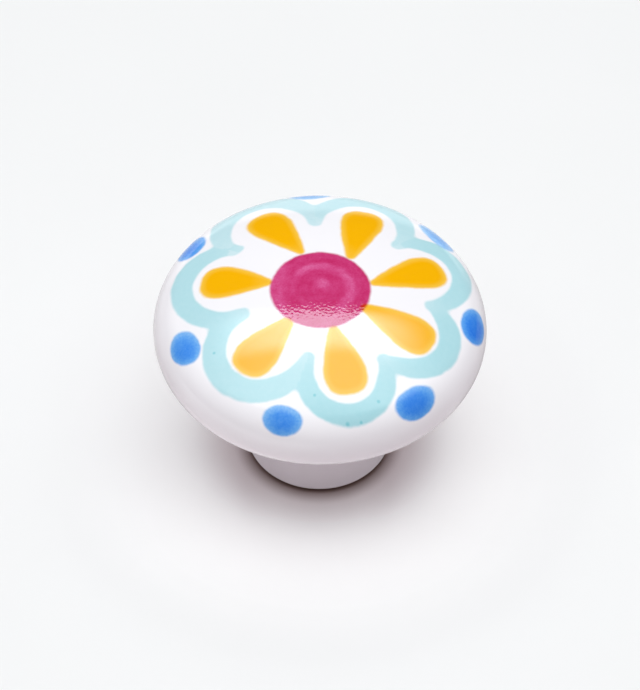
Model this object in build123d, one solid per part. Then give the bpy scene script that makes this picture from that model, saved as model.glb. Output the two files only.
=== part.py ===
from build123d import *

import math
import os

# A painted ceramic knob for a cabinet door or drawer. Lengths in mm, angles in degrees.
# The knob stands on its foot: the origin is the middle of the foot's face and +Z points out of the door.

# Cap
CAP_DIAMETER = 38.0  # across the widest circle
RIM_HEIGHT = 19.6  # widest circle above the foot's face
CROWN_RISE = 7.0  # top of the dome above the widest circle
SHOULDER_RADIUS = 4.2  # rounding from the widest circle up to the crown
LIP_RADIUS = 3.6  # rounding from the widest circle down to the underside
UNDERSIDE_RISE = 10.0  # the underside climbs outwards from the neck at this angle

# Neck and foot
NECK_DIAMETER = 15.2  # where the neck's taper meets the underside
COVE_RADIUS = 4.0  # hollow rounding between neck and underside
FOOT_DIAMETER = 17.0
FOOT_EDGE_RADIUS = 1.0

# Brass insert
INSERT_DIAMETER = 8.0  # over the crests between the flutes
INSERT_LENGTH = 12.0
INSERT_RECESS = 0.3  # the brass stays this far inside the foot, so that the ceramic meets the door
INSERT_CHAMFER = 0.4
FLUTE_COUNT = 24  # lengthwise V grooves that key the brass into its cement
FLUTE_DEPTH = 0.35
WAIST_DIAMETER = 7.0  # groove round the middle, against pulling out
WAIST_WIDTH = 2.5

# Thread of the insert
TAP_DRILL_DIAMETER = 3.3  # bore of an M4 thread before tapping
DRILL_POINT_ANGLE = 118.0
BORE_CHAMFER = 0.45
BORE_END_WALL = 1.2  # brass left beyond the drill's point

# Socket in the ceramic
CEMENT_GAP = 0.1  # round the insert, which bottoms on the socket's floor
SOCKET_CHAMFER = 0.4


def ceramic_section():
    """Half of the body's section, with radius along x and height along y."""
    cap_radius = CAP_DIAMETER / 2
    neck_radius = NECK_DIAMETER / 2
    # The crown's arc is level on the axis and runs smoothly into the shoulder's arc.
    crown_radius = (cap_radius**2 + CROWN_RISE**2 - 2 * cap_radius * SHOULDER_RADIUS) / (
        2 * (CROWN_RISE - SHOULDER_RADIUS)
    )
    shoulder_turn = math.degrees(math.atan2(crown_radius - CROWN_RISE, cap_radius - SHOULDER_RADIUS))

    widest = (cap_radius, RIM_HEIGHT)
    shoulder = JernArc(widest, (0, 1), SHOULDER_RADIUS, shoulder_turn)
    crown = JernArc(shoulder @ 1, shoulder % 1, crown_radius, 90 - shoulder_turn)
    lip = JernArc(widest, (0, -1), LIP_RADIUS, UNDERSIDE_RISE - 90)
    lip_end = lip @ 1
    underside_drop = (lip_end.X - neck_radius) * math.tan(math.radians(UNDERSIDE_RISE))
    neck_top = (neck_radius, lip_end.Y - underside_drop)
    foot_edge = (FOOT_DIAMETER / 2, 0)
    crown_top = (0, RIM_HEIGHT + CROWN_RISE)
    below = Polyline(lip_end, neck_top, foot_edge, (0, 0), crown_top)

    section = make_face(Curve() + [shoulder, crown, lip, below])
    section = fillet(section.vertices().sort_by_distance(neck_top)[0], COVE_RADIUS)
    return fillet(section.vertices().sort_by_distance(foot_edge)[0], FOOT_EDGE_RADIUS)


def insert_socket():
    """The blind hole for the insert, with its mouth eased at the foot's face."""
    radius = INSERT_DIAMETER / 2 + CEMENT_GAP
    depth = INSERT_RECESS + INSERT_LENGTH
    outline = Polyline(
        (0, 0),
        (radius + SOCKET_CHAMFER, 0),
        (radius, SOCKET_CHAMFER),
        (radius, depth),
        (0, depth),
        close=True,
    )
    return revolve(Plane.XZ * make_face(outline), Axis.Z)


def ceramic_body():
    """Cap, neck and foot in one fired piece."""
    return revolve(Plane.XZ * ceramic_section(), Axis.Z) - insert_socket()


def threaded_insert():
    """Turned and fluted brass bush with a blind bore, seated on the socket's floor."""
    radius = INSERT_DIAMETER / 2
    bore_radius = TAP_DRILL_DIAMETER / 2
    point_height = bore_radius / math.tan(math.radians(DRILL_POINT_ANGLE / 2))
    bore_tip = INSERT_LENGTH - BORE_END_WALL
    outline = Polyline(
        (0, bore_tip),
        (bore_radius, bore_tip - point_height),
        (bore_radius, BORE_CHAMFER),
        (bore_radius + BORE_CHAMFER, 0),
        (radius - INSERT_CHAMFER, 0),
        (radius, INSERT_CHAMFER),
        (radius, INSERT_LENGTH - INSERT_CHAMFER),
        (radius - INSERT_CHAMFER, INSERT_LENGTH),
        (0, INSERT_LENGTH),
        close=True,
    )
    bush = revolve(Plane.XZ * make_face(outline), Axis.Z)

    middle = Pos(0, 0, INSERT_LENGTH / 2)
    flute_side = FLUTE_DEPTH * math.sqrt(2)
    flute = Rot(0, 0, 45) * Box(flute_side, flute_side, INSERT_LENGTH)
    bush -= middle * PolarLocations(radius, FLUTE_COUNT) * flute
    bush -= middle * (Cylinder(radius, WAIST_WIDTH) - Cylinder(WAIST_DIAMETER / 2, WAIST_WIDTH))
    return Pos(0, 0, INSERT_RECESS) * bush


os.makedirs("parts", exist_ok=True)
export_step(ceramic_body(), "parts/ceramic_body.step")
export_step(threaded_insert(), "parts/threaded_insert.step")
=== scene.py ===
"""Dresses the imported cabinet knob: painted glaze, brass insert, pale table, soft light and camera."""
import math

import bpy
import numpy as np
from mathutils import Matrix, Vector


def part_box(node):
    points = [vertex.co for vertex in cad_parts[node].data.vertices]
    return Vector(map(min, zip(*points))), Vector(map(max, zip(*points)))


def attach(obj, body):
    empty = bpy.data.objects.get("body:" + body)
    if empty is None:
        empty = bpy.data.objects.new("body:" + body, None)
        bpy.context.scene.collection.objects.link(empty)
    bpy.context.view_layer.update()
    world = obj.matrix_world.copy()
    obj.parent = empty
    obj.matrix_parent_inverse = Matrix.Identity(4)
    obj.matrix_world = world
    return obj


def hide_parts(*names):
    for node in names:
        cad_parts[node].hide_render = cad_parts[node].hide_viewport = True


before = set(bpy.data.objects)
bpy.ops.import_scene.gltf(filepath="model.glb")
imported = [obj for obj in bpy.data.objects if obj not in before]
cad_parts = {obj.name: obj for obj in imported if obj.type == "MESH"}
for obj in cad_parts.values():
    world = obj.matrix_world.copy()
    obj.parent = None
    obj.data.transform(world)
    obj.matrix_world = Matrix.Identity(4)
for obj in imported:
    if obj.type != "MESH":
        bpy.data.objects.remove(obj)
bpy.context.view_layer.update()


def srgb(red, green, blue):
    """A colour written in display values from 0 to 255, as the linear colour that shaders take."""
    shares = (red / 255, green / 255, blue / 255)
    linear = [c / 12.92 if c <= 0.04045 else ((c + 0.055) / 1.055) ** 2.4 for c in shares]
    return (*linear, 1.0)


# Blender works in metres. Sizes below are in mm and are scaled by this where a mesh is made.
MM = 0.001

# Outer form of the ceramic, from model.glb where it gives a size
body_low, body_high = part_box("ceramic_body")
CAP_RADIUS = (body_high[0] - body_low[0]) / 2 / MM
CAP_TOP = body_high[2] / MM
RIM_HEIGHT = 19.6
SHOULDER_RADIUS = 4.2
LIP_RADIUS = 3.6
UNDERSIDE_RISE = math.radians(10)
NECK_RADIUS = 7.6
COVE_RADIUS = 4.0
FOOT_RADIUS = 8.5
FOOT_EDGE_RADIUS = 1.0
SOCKET_RADIUS = 4.1
SOCKET_CHAMFER = 0.4
GLAZE_LINE = 0.45  # the glaze stops this far above the foot's face
SOCKET_MARGIN = 0.1  # all within this of the socket's mouth is bare

# Brass insert
insert_low, insert_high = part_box("threaded_insert")
INSERT_RADIUS = 4.0  # over the crests between the flutes
INSERT_BOTTOM = insert_low[2] / MM
INSERT_TOP = insert_high[2] / MM
INSERT_CHAMFER = 0.4
FLUTE_COUNT = 24
FLUTE_DEPTH = 0.35
WAIST_RADIUS = 3.5
WAIST_WIDTH = 2.5
BORE_RADIUS = 1.65
BORE_CHAMFER = 0.45
BORE_END_WALL = 1.2
DRILL_POINT_ANGLE = math.radians(118)
THREAD_RADIUS = 2.0
THREAD_PITCH = 0.7

# Fineness of the meshes
CERAMIC_SEGMENTS = 384
PAINTED_STEP = 0.25
PLAIN_STEP = 0.6
FLUTE_SAMPLES = 6
INSERT_COLUMNS = FLUTE_COUNT * FLUTE_SAMPLES
THREAD_ROWS_PER_TURN = 10
SHARP_ANGLE = math.radians(25)  # edges of the brass that turn by more than this stay crisp
SAME_POINT = 1e-6  # points closer than this are one

# The painted flower in plan, in mm: x to the right, y away from the camera
CENTRE_RADIUS = 5.7
CENTRE_Y = -0.1
FAR_FROM_PAINT = 5.0

# Petals: tip x, y and rounding, then belly x, y and rounding
PETALS = [
    (-2.3, 5.75, 0.5, -5.9, 10.9, 2.5),
    (3.4, 5.15, 0.6, 4.65, 11.35, 2.45),
    (6.1, 1.15, 0.5, 11.8, 3.95, 2.45),
    (5.05, -2.7, 0.6, 10.45, -5.45, 2.5),
    (1.55, -6.0, 0.6, 2.9, -11.4, 2.45),
    (-3.8, -5.15, 0.85, -7.1, -9.0, 2.5),
    (-6.15, 1.05, 0.65, -11.2, 1.85, 2.45),
]
FLANK_BULGE = 0.16  # how far a petal's sides swell beyond straight
BELLY_POWER = 2.5  # 2 would make a petal's end a half circle, more makes it squarer

# Scallops, one brush stroke round each petal's end: centre x, y, radius, half width and strength
SCALLOPS = [
    (-6.0, 10.3, 5.55, 1.3, 0.83),
    (4.4, 10.75, 5.3, 1.15, 0.92),
    (11.15, 3.8, 4.95, 1.15, 1.1),
    (9.9, -5.1, 4.75, 1.25, 1.15),
    (2.95, -11.5, 4.55, 1.2, 1.25),
    (-6.45, -7.9, 5.35, 1.35, 1.05),
    (-10.25, 1.65, 5.5, 1.25, 1.05),
]

# Where a scallop's stroke and the next one end together, between two petals
STROKE_ENDS = [
    (-0.45, 11.05),
    (8.75, 7.85),
    (12.5, -1.25),
    (7.25, -9.25),
    (-0.85, -9.7),
    (-8.75, -2.75),
    (-9.3, 7.1),
]
STROKE_END_HALF = 0.5
STROKE_END_STRENGTH = 0.75
STROKE_TAPER = 5  # the higher, the closer to its ends a stroke keeps its width
STROKE_BLEND = 0.9

# Specks where the aqua gathered: x, y and radius
SPECKS = [
    (6.6, -14.3, 0.16),
    (3.2, -17.0, 0.18),
    (4.7, -16.7, 0.14),
    (-0.5, -14.0, 0.14),
    (-11.8, -8.0, 0.14),
]
SPECK_FADE = 2.0  # radii from a speck's middle to where it has faded
SPECK_STRENGTH = 0.9

# Dots: run over the cap from its top, bearing in degrees, half length along the rim, half width, strength
DOTS = [
    (18.0, 149.2, 2.2, 1.7, 0.88),
    (17.0, -156.5, 2.3, 1.85, 0.82),
    (17.65, -103.7, 2.25, 1.75, 0.82),
    (18.05, -51.7, 2.6, 1.85, 0.92),
    (18.35, -7.3, 2.45, 1.9, 1.0),
    (18.1, 39.7, 2.75, 1.5, 0.58),
    (18.5, 94.6, 2.5, 1.85, 0.5),
]
DOT_GATHERING = 0.15  # how much stronger a dot is on its near side
DOT_THINNING = (0.2, -1.2)  # distances from a dot's edge, between which the paint gets stronger
DOT_THINNING_STRENGTH = (0.55, 1.0)

# Brushwork, with scales of noise in bumps to the mm
EDGE_WOBBLE = 0.28  # how far a painted edge strays, from one side to the other
EDGE_WOBBLE_SCALE = 0.7
EDGE_SOFTNESS = {"scallop": 0.2, "dot": 0.17, "petal": 0.22, "pink": 0.22}  # half the width of an edge
BRUSH_SCALE = 1.6
BRUSH_MARKS = {"scallop": 0.25, "dot": 0.35, "petal": 0.1, "pink": 0.4}  # how uneven a coat is
DOT_GRAIN = 0.25
DOT_GRAIN_SCALE = 4.0

# Where the petals are paler: by distance from their edge, and by distance from the axis at their tips
PALE_EDGE = (-0.95, 0.0)
PALE_TIP = (8.4, 5.6)
PALE_TIP_SHARE = 0.55
PALE_MARKS = 0.2

# The pink, laid on in rounds about a point of its own, and where it is thinner by a share of its coat
ROUNDS_Y = -0.2
ROUNDS_STRAY = 1.0
ROUNDS_STRAY_SCALE = 0.5
THIN_ROUND_RADIUS = 3.4
THIN_ROUND_EDGE = (0.9, 0.1)
THIN_ROUND_SIDE = (-3.5, 1.0)  # x and y together, so that the near left stays full
THIN_ROUND_SHARE = 0.26
THIN_LEFT_X = (-2.8, -4.6)
THIN_LEFT_SHARE = 0.2
THIN_MIDDLE = (0.15, 0.6)
THIN_MIDDLE_EDGE = (1.5, 0.1)
THIN_MIDDLE_SHARE = 0.34
STREAKS_ACROSS = 1.1  # streaks to the mm across a round
STREAKS_ALONG = 0.35
STREAK_FINE_SCALE = 5.0
STREAK_BROAD_SCALE = 1.1
STREAK_MIX = 0.8

# Colours
WHITE_GLAZE = srgb(253, 251, 255)
BISCUIT = srgb(196, 172, 150)
YELLOW = srgb(255, 187, 4)
PALE_YELLOW = srgb(254, 204, 72)
PINK = srgb(206, 58, 117)
AQUA = srgb(190, 232, 236)
BLUE = srgb(58, 137, 238)
BRASS = srgb(214, 176, 100)
DULL_BRASS = srgb(165, 125, 66)
PAPER = srgb(239, 239, 239)
PALE_PAPER = srgb(241, 241, 241)
TABLE_BOUNCE = srgb(237, 225, 229)  # the table as it lights the knob

# Surfaces: depths of bump in mm, scales of noise in bumps to the mm
GLAZE_INDEX = 1.5
GLAZE_ROUGHNESS = 0.06
GLAZE_ROUGHNESS_SPREAD = 0.05
GLAZE_ROUGHNESS_SCALE = 2.0
RIPPLE_DEPTH = 0.006
RIPPLE_SCALE = 0.35
PINK_GRAIN_DEPTH = 0.012
PINK_GRAIN_SCALE = 3.2
GLAZE_LINE_SOFTNESS = 0.08
GLAZE_LINE_WOBBLE = 0.6  # as a share of the painted edges' wobble
BISCUIT_ROUGHNESS = 0.85
TARNISH_SCALE = 0.8
TARNISH_EDGE = (-0.2, 0.25)
BRASS_ROUGHNESS = 0.32
BRASS_ROUGHNESS_SPREAD = 0.3
TURNING_MARKS = 9.0
TURNING_MARK_DEPTH = 0.004
PAPER_SCALE = 0.02
PAPER_EDGE = (-0.3, 0.3)
TABLE_ROUGHNESS = 0.75
TABLE_ROUGHNESS_SPREAD = 0.1
TABLE_ROUGHNESS_SCALE = 0.5
TABLE_SPECULAR = 0.2
TABLE_HALF = 1500.0

# Camera, fitted to the outline of cap and foot in an image of 640 x 690
CAMERA_ELEVATION = math.radians(49.424)
CAMERA_ROLL = 0.013
CAMERA_DISTANCE = 450.0 * MM
CAMERA_TARGET = Vector((0.028, 0, 16.557)) * MM
CAMERA_LENS = 204.81

# Light, as radiance where 1 shows a white surface as white
ROOM = (0.09, 0.07, 0.07, 1.0)
PANEL = (2.4, 2.46, 2.48, 1.0)  # a broad light overhead
PANEL_MIDDLE = Vector((-0.01, 0.05, 1.0)).normalized()
PANEL_EDGE = (57.0, 23.0)  # degrees from its middle, where the light starts and is full
BACKDROP = (0.89, 0.89, 0.89, 1.0)

# What only gloss shows, by degrees from straight up towards the back, and to either side
MIRRORED_PANEL = (2.75, 2.85, 2.85, 1.0)
MIRRORED_PANEL_EDGE = (44.0, 12.0)
MIRRORED_PANEL_NEAR = (-8.0, 6.0)
SOFTBOX = (5.9, 7.7, 8.2, 1.0)
SOFTBOX_NEAR = (16.5, 22.5)
SOFTBOX_FAR = (33.0, 31.4)
SOFTBOX_SIDE = (32.0, 8.0)
SOFTBOX_CURVE = 0.004  # how much further back its far edge lies at the sides, per square degree
SOFTBOX_BLUR = 0.012  # how much wider that edge is there, per square degree
WALL = (0.02, 0.02, 0.02, 1.0)  # a dark wall behind the knob
WALL_TOP = (31.0, 35.0)
SWEEP = (1.3, 1.3, 1.3, 1.0)  # the table's far end, curved upwards
SWEEP_TOP = (76.0, 80.0)
SWEEP_SIDE = (42.0, 28.0)

# The table as gloss shows it, with a painted reflection: a glow and a dimming that only gloss sees, with
# limits in mm behind the axis and to its right
TABLE_FRONT = (0.0, -20.0)
TABLE_RIGHT = (-40.0, 40.0)
TABLE_GLOW = 0.75  # painted glow at the front left, seen only in gloss
TABLE_DIM = (0.15, 0.14, 0.14, 1.0)
TABLE_DIM_FRONT = 0.45  # at the front right
TABLE_DIM_BESIDE = (0.25, 0.6)  # to the left and to the right
TABLE_BESIDE_START = (30.0, 44.0)  # degrees from straight behind
TABLE_BESIDE_END = (105.0, 85.0)

# The table as the camera sees it near the knob, with painted light, in mm from the axis, behind it or to its
# right
LIFT = (0.09, 0.26)  # painted light: a glow that whitens the knob's half shadow, behind the knob and in front of it
LIFT_FRONT = (0.0, -21.0)
LIFT_NEAR = (8.8, 15.8)  # distances where the whitening starts and is full
LIFT_FAR = (33.0, 16.5)
LIFT_RIGHT = 0.07  # more of the painted whitening where the shadow is short
LIFT_RIGHT_X = (8.0, 20.0)
LIFT_RIGHT_Y = (-16.0, -6.0)

# Painted shadow at the foot, seen by the camera only: tint, then distances from the axis and to either side
# where it starts and is full
ALL_ROUND = (-1.0, 0.0)  # limits that hold at any distance to the side
PAINTED_FOOT_SHADES = [
    ((0.32, 0.25, 0.24, 1.0), (10.4, 7.8), ALL_ROUND),
    ((0.45, 0.38, 0.34, 1.0), (8.7, 7.9), ALL_ROUND),
    ((1.0, 0.94, 0.94, 1.0), (15.0, 8.5), ALL_ROUND),
    ((0.88, 0.85, 0.86, 1.0), (17.0, 10.5), (4.0, 9.0)),
]


# Profiles


def arc(centre, radius, start, end, step):
    """Points along an arc in the plane of radius and height, both ends included."""
    count = max(2, math.ceil(abs(end - start) * radius / step))
    turns = np.linspace(start, end, count + 1)
    return [(centre[0] + radius * math.cos(t), centre[1] + radius * math.sin(t)) for t in turns]


def line(start, end, step):
    """Points along a straight run, both ends included."""
    count = max(1, math.ceil(math.dist(start, end) / step))
    shares = np.linspace(0, 1, count + 1)
    return [(start[0] + s * (end[0] - start[0]), start[1] + s * (end[1] - start[1])) for s in shares]


def joined(*runs):
    """Runs of points end to end, without the doubled points between them."""
    points = list(runs[0])
    for run in runs[1:]:
        skip = 1 if math.dist(points[-1], run[0]) < SAME_POINT else 0
        points += run[skip:]
    return points


def rounded_corner(before, corner, after, radius, step):
    """The arc that rounds a corner between two straight runs."""
    to_before = np.subtract(before, corner) / math.dist(before, corner)
    to_after = np.subtract(after, corner) / math.dist(after, corner)
    half_angle = math.acos(np.dot(to_before, to_after)) / 2
    middle = to_before + to_after
    centre = corner + middle / np.linalg.norm(middle) * radius / math.sin(half_angle)
    reach = radius / math.tan(half_angle)
    from_centre = corner + to_before * reach - centre
    to_centre = corner + to_after * reach - centre
    start = math.atan2(from_centre[1], from_centre[0])
    turn = (math.atan2(to_centre[1], to_centre[0]) - start + math.pi) % (2 * math.pi) - math.pi
    return arc(centre, radius, start, start + turn, step)


def ceramic_profile():
    """The body's section from the top of the cap, down outside to the foot and up into the socket."""
    crown_rise = CAP_TOP - RIM_HEIGHT
    crown_radius = (CAP_RADIUS**2 + crown_rise**2 - 2 * CAP_RADIUS * SHOULDER_RADIUS) / (
        2 * (crown_rise - SHOULDER_RADIUS)
    )
    shoulder_centre = (CAP_RADIUS - SHOULDER_RADIUS, RIM_HEIGHT)
    crown_centre = (0, CAP_TOP - crown_radius)
    meeting = math.atan2(shoulder_centre[1] - crown_centre[1], shoulder_centre[0])
    crown = arc(crown_centre, crown_radius, math.pi / 2, meeting, PAINTED_STEP)
    shoulder = arc(shoulder_centre, SHOULDER_RADIUS, meeting, 0, PAINTED_STEP)

    lip_centre = (CAP_RADIUS - LIP_RADIUS, RIM_HEIGHT)
    lip = arc(lip_centre, LIP_RADIUS, 0, UNDERSIDE_RISE - math.pi / 2, PAINTED_STEP)
    lip_end = lip[-1]
    neck_top = (NECK_RADIUS, lip_end[1] - (lip_end[0] - NECK_RADIUS) * math.tan(UNDERSIDE_RISE))
    foot_edge = (FOOT_RADIUS, 0)
    socket_mouth = (SOCKET_RADIUS + SOCKET_CHAMFER, 0)
    cove = rounded_corner(lip_end, neck_top, foot_edge, COVE_RADIUS, PLAIN_STEP)
    edge = rounded_corner(neck_top, foot_edge, socket_mouth, FOOT_EDGE_RADIUS, PAINTED_STEP / 2)
    return joined(
        crown,
        shoulder,
        lip,
        line(lip_end, cove[0], PLAIN_STEP),
        cove,
        line(cove[-1], edge[0], PLAIN_STEP),
        edge,
        line(edge[-1], socket_mouth, PLAIN_STEP),
        [socket_mouth, (SOCKET_RADIUS, SOCKET_CHAMFER), (SOCKET_RADIUS, INSERT_TOP), (0, INSERT_TOP)],
    )


# Meshes


def ring(reach, height, count):
    """Points round the axis at one height. The reach may be one number or one for each point."""
    bearings = np.linspace(0, 2 * math.pi, count, endpoint=False)
    return np.column_stack([reach * np.cos(bearings), reach * np.sin(bearings), np.full(count, height)])


def closed_band(rings, first_tip, last_tip):
    """Points and faces of a band of rings, closed at each end by a point on the axis at the given height."""
    count = len(rings[0])
    points = np.vstack([*rings, (0, 0, first_tip), (0, 0, last_tip)])
    last_row = (len(rings) - 1) * count
    first_point = last_row + count
    last_point = first_point + 1
    faces = []
    for column in range(count):
        beside = (column + 1) % count
        faces.append((first_point, column, beside))
        for row in range(0, last_row, count):
            below = row + count
            faces.append((row + column, below + column, below + beside, row + beside))
        faces.append((last_point, last_row + beside, last_row + column))
    return points, faces


def turned(profile, count):
    """Points and faces of a profile turned round the axis. Its two ends lie on the axis."""
    rings = [ring(reach, height, count) for reach, height in profile[1:-1]]
    return closed_band(rings, profile[0][1], profile[-1][1])


def mesh_piece(name, points, faces, material, node):
    """A new object that stands for a CAD node, which is hidden; it hangs from the root body. Points are in
    mm.
    """
    mesh = bpy.data.meshes.new(name)
    mesh.from_pydata((np.asarray(points) * MM).tolist(), [], faces)
    mesh.shade_smooth()
    mesh.materials.append(material)
    piece = bpy.data.objects.new(name, mesh)
    bpy.context.scene.collection.objects.link(piece)
    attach(piece, "root")
    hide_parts(node)
    return piece


# The flower's fields of colour, as signed distances: below zero inside


def teardrop_distance(x, y, tip_x, tip_y, tip_size, belly_x, belly_y, belly_size):
    """Distance to a teardrop, about the hull of a small circle and a large one."""
    length = math.hypot(belly_x - tip_x, belly_y - tip_y)
    along_x, along_y = (belly_x - tip_x) / length, (belly_y - tip_y) / length
    along = (x - tip_x) * along_x + (y - tip_y) * along_y
    across = np.abs((y - tip_y) * along_x - (x - tip_x) * along_y)
    slope = (tip_size - belly_size) / length
    cosine = math.sqrt(1 - slope**2)
    place = along * cosine - across * slope
    share = np.clip(along / length, 0, 1)
    beside_tip = np.hypot(along, across) - tip_size
    beyond = np.abs(along - length)
    beside_belly = (beyond**BELLY_POWER + across**BELLY_POWER) ** (1 / BELLY_POWER) - belly_size
    beside_flank = across * cosine + along * slope - tip_size - FLANK_BULGE * 4 * share * (1 - share)
    return np.where(place < 0, beside_tip, np.where(place > cosine * length, beside_belly, beside_flank))


def petal_field(x, y):
    """Distance to the nearest petal."""
    return np.min([teardrop_distance(x, y, *petal) for petal in PETALS], axis=0)


def stroke_fields(x, y, scallop, first, last):
    """Distance to a thick arc that runs clockwise and thins at both ends, and the strength of its paint."""
    centre_x, centre_y, radius, half_width, strength = scallop
    start = math.atan2(first[1] - centre_y, first[0] - centre_x)
    sweep = (start - math.atan2(last[1] - centre_y, last[0] - centre_x)) % (2 * math.pi)
    middle = start - sweep / 2
    bearing = np.arctan2(y - centre_y, x - centre_x)
    from_middle = (middle - bearing + math.pi) % (2 * math.pi) - math.pi
    share = np.clip(from_middle / (sweep / 2), -1, 1)
    nearest = middle - share * sweep / 2
    gap = np.hypot(x - centre_x - radius * np.cos(nearest), y - centre_y - radius * np.sin(nearest))
    bulge = 1 - np.abs(share) ** STROKE_TAPER
    distance = gap - STROKE_END_HALF - (half_width - STROKE_END_HALF) * bulge
    return distance, strength * (STROKE_END_STRENGTH + (1 - STROKE_END_STRENGTH) * bulge)


def soft_min(first, second, blend):
    """The lesser of two distances, with the corner between their shapes filled in."""
    share = np.clip(0.5 + 0.5 * (second - first) / blend, 0, 1)
    return second + (first - second) * share - blend * share * (1 - share)


def scallop_fields(x, y):
    """Distance to the scalloped ring of strokes, and the strength of the paint there."""
    nearest = np.full_like(x, FAR_FROM_PAINT)
    strength = np.ones_like(x)
    for index, scallop in enumerate(SCALLOPS):
        distance, own_strength = stroke_fields(x, y, scallop, STROKE_ENDS[index - 1], STROKE_ENDS[index])
        strength = np.where(distance < nearest, own_strength, strength)
        nearest = soft_min(nearest, distance, STROKE_BLEND)
    return nearest, strength


def run_over_cap(reach):
    """Length along the cap's surface from its top out to a distance from the axis."""
    rows = np.array(ceramic_profile())
    cap = rows[: np.argmax(rows[:, 0]) + 1]
    steps = np.hypot(*np.diff(cap, axis=0).T)
    return np.interp(reach, cap[:, 0], np.concatenate([[0], np.cumsum(steps)]))


def dot_fields(x, y):
    """Distance over the surface to the nearest dot, and the strength of its paint."""
    nearest = np.full_like(x, FAR_FROM_PAINT)
    strength = np.ones_like(x)
    run = run_over_cap(np.hypot(x, y))
    for run_to_middle, bearing, half_length, half_width, own_strength in DOTS:
        turn = math.radians(bearing)
        on_this_side = x * math.cos(turn) + y * math.sin(turn) > 0
        along = y * math.cos(turn) - x * math.sin(turn)
        across = run - run_to_middle
        distance = (np.hypot(along / half_length, across / half_width) - 1) * half_width
        distance = np.where(on_this_side, distance, FAR_FROM_PAINT)
        towards_back = along * math.cos(turn) + across * math.sin(turn)
        gathered = own_strength * (1 - DOT_GATHERING * np.clip(towards_back / half_length, -1, 1))
        strength = np.where(distance < nearest, gathered, strength)
        nearest = np.minimum(nearest, distance)
    return nearest, strength


def store_field(piece, name, values):
    """Keeps a number for each point of a mesh, for the material to read."""
    attribute = piece.data.attributes.new(name, "FLOAT", "POINT")
    attribute.data.foreach_set("value", np.asarray(values, dtype=np.float32))


# Nodes


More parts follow.
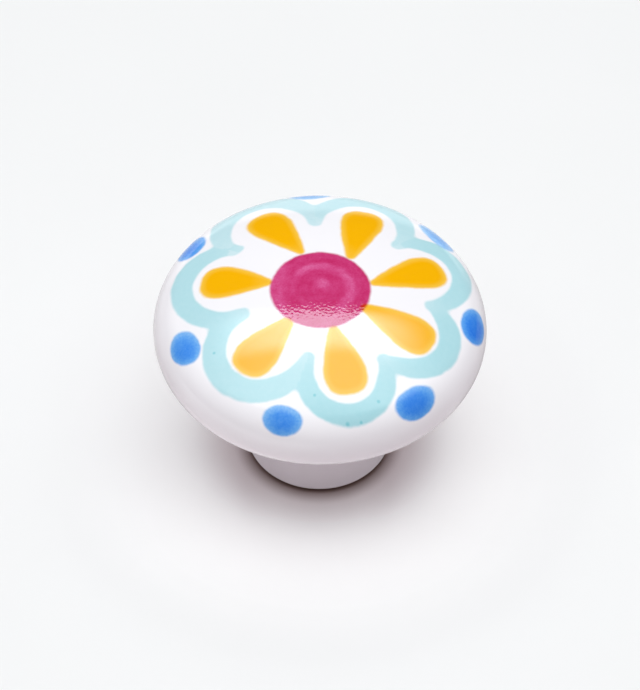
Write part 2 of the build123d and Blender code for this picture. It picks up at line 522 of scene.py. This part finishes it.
class Nodes:
    """The nodes of a material or of the world, with short calls for the few kinds that are used here."""

    def __init__(self, owner):
        owner.use_nodes = True
        self.owner = owner
        self.tree = owner.node_tree

    def shade(self, **values):
        """Sets sockets of the material's shader, or of the world's background, by name."""
        kind = "Background" if isinstance(self.owner, bpy.types.World) else "Principled BSDF"
        for name, value in values.items():
            self.feed(self.tree.nodes[kind].inputs[name.replace("_", " ")], value)

    def feed(self, socket, value):
        """Links a socket to another one, or sets it to a plain value."""
        if isinstance(value, bpy.types.NodeSocket):
            self.tree.links.new(value, socket)
        else:
            socket.default_value = value

    def ray(self, kind):
        """1 for rays of a kind and 0 for others."""
        return self.tree.nodes.new("ShaderNodeLightPath").outputs[kind]

    def field(self, name):
        """A number kept on the mesh."""
        node = self.tree.nodes.new("ShaderNodeAttribute")
        node.attribute_name = name
        return node.outputs["Fac"]

    def place(self):
        """Position on the object, in mm."""
        node = self.tree.nodes.new("ShaderNodeVectorMath")
        node.operation = "SCALE"
        self.feed(node.inputs[0], self.tree.nodes.new("ShaderNodeTexCoord").outputs["Object"])
        self.feed(node.inputs["Scale"], 1 / MM)
        return node.outputs[0]

    def direction(self):
        """In the world's nodes, the direction that a ray looks in."""
        return self.tree.nodes.new("ShaderNodeTexCoord").outputs["Generated"]

    def split(self, value):
        """The x, y and z of a vector."""
        node = self.tree.nodes.new("ShaderNodeSeparateXYZ")
        self.feed(node.inputs[0], value)
        return node.outputs["X"], node.outputs["Y"], node.outputs["Z"]

    def combine(self, x, y, z):
        """A vector from its x, y and z."""
        node = self.tree.nodes.new("ShaderNodeCombineXYZ")
        for socket, value in zip(node.inputs, (x, y, z)):
            self.feed(socket, value)
        return node.outputs[0]

    def dot(self, first, second):
        """The dot product of two vectors."""
        node = self.tree.nodes.new("ShaderNodeVectorMath")
        node.operation = "DOT_PRODUCT"
        self.feed(node.inputs[0], first)
        self.feed(node.inputs[1], second)
        return node.outputs["Value"]

    def math(self, operation, first, second=0.0):
        """One of Blender's sums on one or two numbers."""
        node = self.tree.nodes.new("ShaderNodeMath")
        node.operation = operation
        self.feed(node.inputs[0], first)
        self.feed(node.inputs[1], second)
        return node.outputs[0]

    def plus(self, first, *others):
        """The sum of all values."""
        for other in others:
            first = self.math("ADD", first, other)
        return first

    def minus(self, first, second):
        """The first value less the second."""
        return self.math("SUBTRACT", first, second)

    def times(self, first, *others):
        """The product of all values."""
        for other in others:
            first = self.math("MULTIPLY", first, other)
        return first

    def degrees(self, function, first, second=0.0):
        """An angle by one of Blender's inverse functions, in degrees."""
        return self.times(self.math(function, first, second), 180 / math.pi)

    def reach(self, x, y):
        """Distance from the origin in plan."""
        return self.math("SQRT", self.plus(self.times(x, x), self.times(y, y)))

    def noise(self, place, scale, detail=2.0, roughness=0.5):
        """Noise about zero, from about -0.5 to 0.5, with so many bumps to the mm."""
        node = self.tree.nodes.new("ShaderNodeTexNoise")
        self.feed(node.inputs["Vector"], place)
        self.feed(node.inputs["Scale"], scale)
        self.feed(node.inputs["Detail"], detail)
        self.feed(node.inputs["Roughness"], roughness)
        return self.minus(node.outputs["Fac"], 0.5)

    def varied(self, value, pattern, amount):
        """A value made uneven by so much of a pattern."""
        return self.plus(value, self.times(pattern, amount))

    def ramp(self, value, low, high, from_value=0.0, to_value=1.0):
        """A smooth step from one value to another between two places."""
        node = self.tree.nodes.new("ShaderNodeMapRange")
        node.interpolation_type = "SMOOTHSTEP"
        for socket, given in zip(node.inputs, (value, low, high, from_value, to_value)):
            self.feed(socket, given)
        return node.outputs[0]

    def wash(self, pigment, thickness):
        """A transparent colour, which deepens with the paint's thickness: white at 0, as written at 1."""
        node = self.tree.nodes.new("ShaderNodeGamma")
        self.feed(node.inputs["Color"], pigment)
        self.feed(node.inputs["Gamma"], thickness)
        return node.outputs[0]

    def mix(self, share, first, second, blend="MIX"):
        """Two colours mixed, the second by a share from 0 to 1."""
        node = self.tree.nodes.new("ShaderNodeMix")
        node.data_type = "RGBA"
        node.blend_type = blend
        self.feed(node.inputs["Factor"], share)
        self.feed(node.inputs[6], first)
        self.feed(node.inputs[7], second)
        return node.outputs[2]

    def multiplied(self, first, second):
        """One colour seen through another."""
        return self.mix(1.0, first, second, "MULTIPLY")

    def bump(self, height, distance, normal=None):
        """A normal bent by a height, on top of another bump where one is given."""
        node = self.tree.nodes.new("ShaderNodeBump")
        self.feed(node.inputs["Height"], height)
        self.feed(node.inputs["Distance"], distance)
        if normal is not None:
            self.feed(node.inputs["Normal"], normal)
        return node.outputs[0]


class Paintwork(Nodes):
    """The nodes of the ceramic's material, with the brushwork that its colours share."""

    def __init__(self, owner):
        super().__init__(owner)
        self.spot = self.place()
        self.x, self.y, _ = self.split(self.spot)
        self.brush = self.noise(self.spot, BRUSH_SCALE, detail=4.0, roughness=0.6)
        self.wobble = self.times(self.noise(self.spot, EDGE_WOBBLE_SCALE, detail=3.0), EDGE_WOBBLE)

    def from_point(self, x, y):
        """Distance from a point in plan."""
        return self.reach(self.minus(self.x, x), self.minus(self.y, y))

    def cover(self, field):
        """1 inside a painted field and 0 outside, with an uneven edge."""
        softness = EDGE_SOFTNESS[field]
        return self.ramp(self.plus(self.field(field), self.wobble), softness, -softness)

    def painted(self, colour, pigment, field, strength, marks):
        """A colour with a coat of paint on one field, uneven by a pattern of brush marks."""
        depth = self.varied(strength, marks, BRUSH_MARKS[field])
        coated = self.multiplied(colour, self.wash(pigment, depth))
        return self.mix(self.cover(field), colour, coated)


# Materials


def aqua_coat(n, colour):
    """The scalloped ring, stronger in the specks where its paint gathered."""
    strength = n.field("scallop_strength")
    for x, y, radius in SPECKS:
        strength = n.plus(strength, n.ramp(n.from_point(x, y), SPECK_FADE * radius, 0.0, 0.0, SPECK_STRENGTH))
    return n.painted(colour, AQUA, "scallop", strength, n.brush)


def blue_coat(n, colour):
    """The dots, thinner towards their edges."""
    thinned = n.ramp(n.field("dot"), *DOT_THINNING, *DOT_THINNING_STRENGTH)
    strength = n.times(thinned, n.field("dot_strength"))
    strength = n.varied(strength, n.noise(n.spot, DOT_GRAIN_SCALE), DOT_GRAIN)
    return n.painted(colour, BLUE, "dot", strength, n.brush)


def yellow_coat(n, colour):
    """The petals, paler along their edges and at their tips."""
    at_edge = n.ramp(n.field("petal"), *PALE_EDGE)
    at_tip = n.ramp(n.reach(n.x, n.y), *PALE_TIP, 0.0, PALE_TIP_SHARE)
    pale = n.varied(n.math("MAXIMUM", at_edge, at_tip), n.brush, PALE_MARKS)
    return n.painted(colour, n.mix(pale, YELLOW, PALE_YELLOW), "petal", 1.0, n.brush)


def pink_coat(n, colour):
    """The flower's middle, laid on in rounds: thinner along one of them, at its left end and at its heart."""
    stray = n.noise(n.spot, ROUNDS_STRAY_SCALE)
    from_centre = n.varied(n.from_point(0.0, ROUNDS_Y), stray, ROUNDS_STRAY)
    from_round = n.math("ABSOLUTE", n.minus(from_centre, THIN_ROUND_RADIUS))
    on_its_side = n.ramp(n.plus(n.x, n.y), *THIN_ROUND_SIDE, 0.0, THIN_ROUND_SHARE)
    thin_round = n.times(n.ramp(from_round, *THIN_ROUND_EDGE), on_its_side)
    thin_left = n.ramp(n.x, *THIN_LEFT_X, 0.0, THIN_LEFT_SHARE)
    thin_middle = n.ramp(n.from_point(*THIN_MIDDLE), *THIN_MIDDLE_EDGE, 0.0, THIN_MIDDLE_SHARE)
    strength = n.minus(1.0, n.plus(thin_round, thin_left, thin_middle))

    around = n.combine(
        n.times(from_centre, STREAKS_ACROSS), n.times(n.x, STREAKS_ALONG), n.times(n.y, STREAKS_ALONG)
    )
    streaks = n.noise(around, 1.0, detail=3.0, roughness=0.6)
    for scale in (STREAK_FINE_SCALE, STREAK_BROAD_SCALE):
        streaks = n.varied(streaks, n.noise(n.spot, scale), STREAK_MIX)
    return n.painted(colour, PINK, "pink", strength, streaks)


def ceramic_material():
    """White gloss glaze over thin painted colours, with bare biscuit on the foot's face."""
    n = Paintwork(bpy.data.materials.new("painted_glaze"))
    colour = WHITE_GLAZE
    for coat in (aqua_coat, blue_coat, yellow_coat, pink_coat):
        colour = coat(n, colour)

    above_line = n.varied(n.field("above_glaze_line"), n.wobble, GLAZE_LINE_WOBBLE)
    bare = n.ramp(above_line, GLAZE_LINE_SOFTNESS, -GLAZE_LINE_SOFTNESS)
    uneven = n.noise(n.spot, GLAZE_ROUGHNESS_SCALE, detail=3.0)
    gloss = n.varied(GLAZE_ROUGHNESS, uneven, GLAZE_ROUGHNESS_SPREAD)
    ripple = n.bump(n.noise(n.spot, RIPPLE_SCALE, detail=1.0), RIPPLE_DEPTH * MM)
    grain = n.times(n.cover("pink"), n.noise(n.spot, PINK_GRAIN_SCALE, detail=0.0))
    n.shade(
        Base_Color=n.mix(bare, colour, BISCUIT),
        Roughness=n.ramp(bare, 0.0, 1.0, gloss, BISCUIT_ROUGHNESS),
        IOR=GLAZE_INDEX,
        Normal=n.bump(grain, PINK_GRAIN_DEPTH * MM, ripple),
    )
    return n.owner


def brass_material():
    """Turned brass, dulled unevenly."""
    n = Nodes(bpy.data.materials.new("turned_brass"))
    place = n.place()
    x, y, z = n.split(place)
    tarnish = n.noise(place, TARNISH_SCALE, detail=4.0, roughness=0.6)
    turning = n.noise(n.combine(n.reach(x, y), z, 0.0), TURNING_MARKS)
    n.shade(
        Base_Color=n.mix(n.ramp(tarnish, *TARNISH_EDGE), BRASS, DULL_BRASS),
        Metallic=1.0,
        Roughness=n.varied(BRASS_ROUGHNESS, tarnish, BRASS_ROUGHNESS_SPREAD),
        Normal=n.bump(turning, TURNING_MARK_DEPTH * MM),
    )
    return n.owner


def table_material():
    """Smooth pale table top, seen as near white, with painted shadow round the foot and a painted glow that
    whitens the knob's half shadow. What it throws back onto the knob is dimmer, and gloss sees a painted glow
    and dimming on it.
    """
    n = Nodes(bpy.data.materials.new("pale_table"))
    place = n.place()
    x, y, _ = n.split(place)
    aside = n.math("ABSOLUTE", x)
    reach = n.reach(x, y)
    camera = n.ray("Is Camera Ray")
    glossy = n.ray("Is Glossy Ray")

    # Painted light: a glow that only the camera sees whitens the knob's half shadow
    half_shadow = n.times(n.ramp(reach, *LIFT_NEAR), n.ramp(reach, *LIFT_FAR))
    at_right = n.times(n.ramp(x, *LIFT_RIGHT_X), n.ramp(y, *LIFT_RIGHT_Y, 0.0, LIFT_RIGHT))
    painted_lift = n.times(camera, half_shadow, n.plus(n.ramp(y, *LIFT_FRONT, *LIFT), at_right))

    # Painted reflection: gloss sees the table glowing at the front left and dimmer at the front right and
    # beside the knob
    in_front = n.times(glossy, n.ramp(y, *TABLE_FRONT))
    painted_glow = n.times(in_front, n.ramp(x, *TABLE_RIGHT, TABLE_GLOW, 0.0))
    dim_in_front = n.times(in_front, n.ramp(x, *TABLE_RIGHT, 0.0, TABLE_DIM_FRONT))
    bearing = n.degrees("ARCTAN2", aside, y)
    beside = n.times(glossy, n.ramp(bearing, *TABLE_BESIDE_START), n.ramp(bearing, *TABLE_BESIDE_END))
    dim_beside = n.times(beside, n.ramp(x, *TABLE_RIGHT, *TABLE_DIM_BESIDE))

    paper_and_shade = n.mix(n.ramp(n.noise(place, PAPER_SCALE), *PAPER_EDGE), PAPER, PALE_PAPER)
    # Painted shadow: the paper is darkened round the foot, for the camera only
    for painted_shade, from_axis, to_the_side in PAINTED_FOOT_SHADES:
        share = n.times(camera, n.ramp(reach, *from_axis), n.ramp(aside, *to_the_side))
        paper_and_shade = n.mix(share, paper_and_shade, n.multiplied(paper_and_shade, painted_shade))
    paper_and_shade = n.mix(n.math("MAXIMUM", dim_in_front, dim_beside), paper_and_shade, TABLE_DIM)
    n.shade(
        Base_Color=n.mix(n.math("MAXIMUM", camera, glossy), TABLE_BOUNCE, paper_and_shade),
        Roughness=n.varied(TABLE_ROUGHNESS, n.noise(place, TABLE_ROUGHNESS_SCALE), TABLE_ROUGHNESS_SPREAD),
        Specular_IOR_Level=TABLE_SPECULAR,
        Emission_Color=(1.0, 1.0, 1.0, 1.0),
        Emission_Strength=n.plus(painted_lift, painted_glow),
    )
    return n.owner


# Pieces


def make_ceramic():
    """The fired body with its paint fields."""
    points, faces = turned(ceramic_profile(), CERAMIC_SEGMENTS)
    piece = mesh_piece("painted_body", points, faces, ceramic_material(), "ceramic_body")
    x, y, z = points.T
    on_top = z > RIM_HEIGHT + SAME_POINT
    scallop, scallop_strength = scallop_fields(x, y)
    dot, dot_strength = dot_fields(x, y)
    distances = {
        "petal": petal_field(x, y),
        "scallop": scallop,
        "dot": dot,
        "pink": np.hypot(x, y - CENTRE_Y) - CENTRE_RADIUS,
    }
    for name, distance in distances.items():
        store_field(piece, name, np.where(on_top, distance, FAR_FROM_PAINT))
    store_field(piece, "scallop_strength", scallop_strength)
    store_field(piece, "dot_strength", dot_strength)
    in_socket = np.hypot(x, y) < SOCKET_RADIUS + SOCKET_CHAMFER + SOCKET_MARGIN
    below_cap = z < RIM_HEIGHT - LIP_RADIUS
    store_field(piece, "above_glaze_line", np.where(in_socket & below_cap, -FAR_FROM_PAINT, z - GLAZE_LINE))


def insert_outside():
    """Rings from the rim of the insert's top down its fluted side to its lower face."""
    waist_low = (INSERT_BOTTOM + INSERT_TOP - WAIST_WIDTH) / 2
    waist_high = waist_low + WAIST_WIDTH
    profile = [
        (INSERT_RADIUS - INSERT_CHAMFER, INSERT_TOP),
        (INSERT_RADIUS, INSERT_TOP - INSERT_CHAMFER),
        (INSERT_RADIUS, waist_high),
        (WAIST_RADIUS, waist_high),
        (WAIST_RADIUS, waist_low),
        (INSERT_RADIUS, waist_low),
        (INSERT_RADIUS, INSERT_BOTTOM + INSERT_CHAMFER),
        (INSERT_RADIUS - INSERT_CHAMFER, INSERT_BOTTOM),
    ]
    flutes_away = np.arange(INSERT_COLUMNS) / FLUTE_SAMPLES
    sideways = np.abs((flutes_away + 0.5) % 1 - 0.5) * 2 * math.pi * INSERT_RADIUS / FLUTE_COUNT
    fluted = INSERT_RADIUS - np.maximum(0, FLUTE_DEPTH - sideways)
    return [ring(np.minimum(radius, fluted), height, INSERT_COLUMNS) for radius, height in profile]


def insert_bore(end):
    """Rings from the mouth of the insert's bore up its thread to where the drill's point starts."""
    count = math.ceil((end - INSERT_BOTTOM) / THREAD_PITCH * THREAD_ROWS_PER_TURN)
    turns = np.arange(INSERT_COLUMNS) / INSERT_COLUMNS
    rings = []
    for height in np.linspace(INSERT_BOTTOM, end, count + 1):
        place = ((height - INSERT_BOTTOM) / THREAD_PITCH - turns) % 1
        run_out = min(1, (end - height) / THREAD_PITCH)
        cut = (THREAD_RADIUS - BORE_RADIUS) * (1 - np.abs(2 * place - 1)) * run_out
        chamfer = BORE_RADIUS + BORE_CHAMFER - (height - INSERT_BOTTOM)
        rings.append(ring(np.maximum(BORE_RADIUS + cut, chamfer), height, INSERT_COLUMNS))
    return rings


def make_insert():
    """Turned and fluted brass bush with an M4 thread."""
    bore_tip = INSERT_TOP - BORE_END_WALL
    bore_end = bore_tip - BORE_RADIUS / math.tan(DRILL_POINT_ANGLE / 2)
    points, faces = closed_band(insert_outside() + insert_bore(bore_end), INSERT_TOP, bore_tip)
    piece = mesh_piece("threaded_bush", points, faces, brass_material(), "threaded_insert")
    piece.data.set_sharp_from_angle(angle=SHARP_ANGLE)


# Stage


def make_table():
    """A wide flat table top under the knob's foot."""
    half = TABLE_HALF * MM
    corners = [(-half, -half, 0), (half, -half, 0), (half, half, 0), (-half, half, 0)]
    mesh = bpy.data.meshes.new("table")
    mesh.from_pydata(corners, [], [(0, 1, 2, 3)])
    mesh.materials.append(table_material())
    table = bpy.data.objects.new("table", mesh)
    bpy.context.scene.collection.objects.link(table)


def mirrored_room(n, direction, from_panel):
    """What gloss shows of the room: the light overhead, a dark wall, the table's far end and a softbox."""
    x, y, z = n.split(direction)
    back = n.degrees("ARCTAN2", y, z)
    side = n.math("ABSOLUTE", n.degrees("ARCSINE", x))
    side_squared = n.times(side, side)
    curved = n.minus(back, n.times(side_squared, SOFTBOX_CURVE))
    blur = n.times(side_squared, SOFTBOX_BLUR)

    overhead = n.times(n.ramp(from_panel, *MIRRORED_PANEL_EDGE), n.ramp(back, *MIRRORED_PANEL_NEAR))
    sweep = n.times(n.ramp(back, *SWEEP_TOP), n.ramp(side, *SWEEP_SIDE))
    far_edge = n.ramp(curved, n.plus(SOFTBOX_FAR[0], blur), n.minus(SOFTBOX_FAR[1], blur))
    softbox = n.times(n.ramp(back, *SOFTBOX_NEAR), far_edge, n.ramp(side, *SOFTBOX_SIDE))
    light = n.mix(overhead, ROOM, MIRRORED_PANEL)
    light = n.mix(n.ramp(curved, *WALL_TOP), light, WALL)
    light = n.mix(sweep, light, SWEEP)
    return n.mix(softbox, light, SOFTBOX)


def make_world():
    """Soft light from overhead in a dim room, a pale backdrop for the camera, and what gloss shows."""
    world = bpy.data.worlds.new("room")
    bpy.context.scene.world = world
    n = Nodes(world)
    direction = n.direction()
    from_panel = n.degrees("ARCCOSINE", n.dot(direction, PANEL_MIDDLE))
    light = n.mix(n.ramp(from_panel, *PANEL_EDGE), ROOM, PANEL)
    light = n.mix(n.ray("Is Glossy Ray"), light, mirrored_room(n, direction, from_panel))
    light = n.mix(n.ray("Is Camera Ray"), light, BACKDROP)
    n.shade(Color=light, Strength=1.0)


def make_camera():
    """A long lens that looks down on the knob from the photo's angle."""
    data = bpy.data.cameras.new("camera")
    data.lens = CAMERA_LENS
    camera = bpy.data.objects.new("camera", data)
    turn = Matrix.Rotation(math.pi / 2 - CAMERA_ELEVATION, 4, "X") @ Matrix.Rotation(CAMERA_ROLL, 4, "Z")
    backwards = turn.to_3x3() @ Vector((0, 0, 1))
    camera.matrix_world = Matrix.Translation(CAMERA_TARGET + backwards * CAMERA_DISTANCE) @ turn
    bpy.context.scene.collection.objects.link(camera)
    bpy.context.scene.camera = camera


make_ceramic()
make_insert()
make_table()
make_world()
make_camera()
bpy.context.scene.view_settings.view_transform = "Standard"
